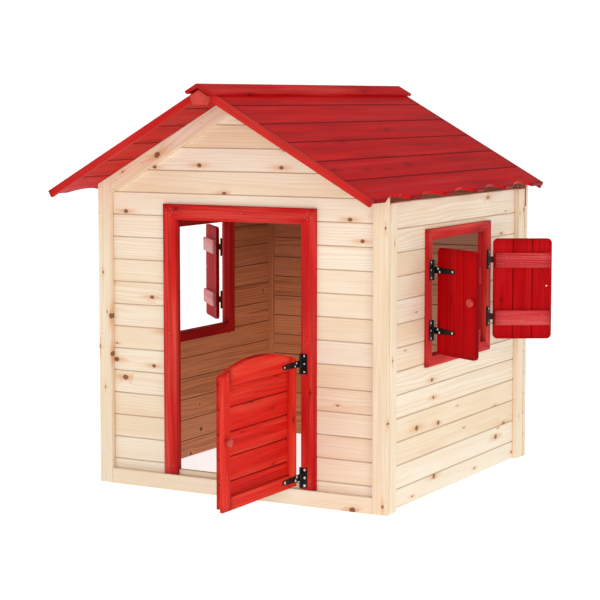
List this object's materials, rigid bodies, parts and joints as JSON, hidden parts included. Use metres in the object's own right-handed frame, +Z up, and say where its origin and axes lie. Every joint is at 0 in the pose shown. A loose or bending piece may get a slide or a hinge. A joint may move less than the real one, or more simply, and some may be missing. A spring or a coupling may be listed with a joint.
{
  "type": "children's wooden playhouse",
  "caption": "Gabled playhouse of boarded panels with a red roof with scalloped eaves, an outward-opening half door and side windows with hinged shutters.",
  "frame": {"origin": "middle of the underside of the front bottom rail, on the ground", "axes": "+Z up, -Y out of the front with the door, +X to the right for someone facing the front"},
  "size_m": [1.5207, 1.6835, 1.3743],
  "materials": {
    "fir_boards": "planed, untreated",
    "fir_posts": "planed, untreated",
    "red_casing": "red wood stain, satin",
    "red_roof": "red wood stain, satin",
    "red_door": "red wood stain, satin",
    "red_shutter": "red wood stain, satin",
    "black_iron": "black powder coat",
    "zinc_screws": "bright zinc"
  },
  "bodies": {
    "house": {"front_wall_planks": "fir_boards", "door_sill_plank": "fir_boards", "back_wall_planks": "fir_boards", "right_wall_planks": "fir_boards", "left_wall_planks": "fir_boards", "front_posts": "fir_posts", "back_posts": "fir_posts", "front_gable_battens": "fir_posts", "back_gable_battens": "fir_posts", "bottom_rails": "fir_posts", "side_posts": "fir_posts", "corner_battens": "fir_posts", "roof_battens": "fir_posts", "right_window_casing": "red_casing", "right_window_lining": "red_casing", "left_window_casing": "red_casing", "left_window_lining": "red_casing", "door_casing": "red_casing", "door_lining": "red_casing", "roof_planks_right": "red_roof", "roof_planks_left": "red_roof", "roof_eave_plank_right": "red_roof", "roof_eave_plank_left": "red_roof", "front_bargeboards": "red_roof", "rear_bargeboards": "red_roof", "ridge_caps": "red_roof", "ridge_end_blocks": "red_roof", "door_hinge_plates": "black_iron", "shutter_hinge_plates": "black_iron", "hinge_pins": "black_iron", "hinge_plate_screws": "zinc_screws", "panel_screws": "zinc_screws"},
    "door": {"door_stile_hinge_side": "red_door", "door_stile_free_side": "red_door", "door_top_rail": "red_door", "door_bottom_rail": "red_door", "door_planks": "red_door", "door_knob": "red_door", "door_hinge_straps": "black_iron", "door_screws": "zinc_screws"},
    "right_front_shutter": {"right_front_shutter_boards": "red_shutter", "right_front_shutter_battens": "red_shutter", "right_front_shutter_knob": "red_shutter", "right_front_shutter_straps": "black_iron", "right_front_shutter_screws": "zinc_screws"},
    "right_rear_shutter": {"right_rear_shutter_boards": "red_shutter", "right_rear_shutter_battens": "red_shutter", "right_rear_shutter_knob": "red_shutter", "right_rear_shutter_straps": "black_iron", "right_rear_shutter_screws": "zinc_screws"},
    "left_front_shutter": {"left_front_shutter_boards": "red_shutter", "left_front_shutter_battens": "red_shutter", "left_front_shutter_knob": "red_shutter", "left_front_shutter_straps": "black_iron", "left_front_shutter_screws": "zinc_screws"},
    "left_rear_shutter": {"left_rear_shutter_boards": "red_shutter", "left_rear_shutter_battens": "red_shutter", "left_rear_shutter_knob": "red_shutter", "left_rear_shutter_straps": "black_iron", "left_rear_shutter_screws": "zinc_screws"}
  },
  "joints": [
    {"name": "door_hinge", "type": "hinge", "parent": "house", "child": "door", "pos_m": [0.24, -0.0075, 0.28], "axis": [0, 0, 1], "range_deg": [-90, 75]},
    {"name": "right_front_shutter_hinge", "type": "hinge", "parent": "house", "child": "right_front_shutter", "pos_m": [0.5525, 0.34, 0.66], "axis": [0, 0, -1], "range_deg": [-118, 47]},
    {"name": "right_rear_shutter_hinge", "type": "hinge", "parent": "house", "child": "right_rear_shutter", "pos_m": [0.5525, 0.792, 0.66], "axis": [0, 0, 1], "range_deg": [-120, 45]},
    {"name": "left_front_shutter_hinge", "type": "hinge", "parent": "house", "child": "left_front_shutter", "pos_m": [-0.5525, 0.34, 0.66], "axis": [0, 0, 1], "range_deg": [-70, 95]},
    {"name": "left_rear_shutter_hinge", "type": "hinge", "parent": "house", "child": "left_rear_shutter", "pos_m": [-0.5525, 0.792, 0.66], "axis": [0, 0, -1], "range_deg": [-137, 28]}
  ]
}
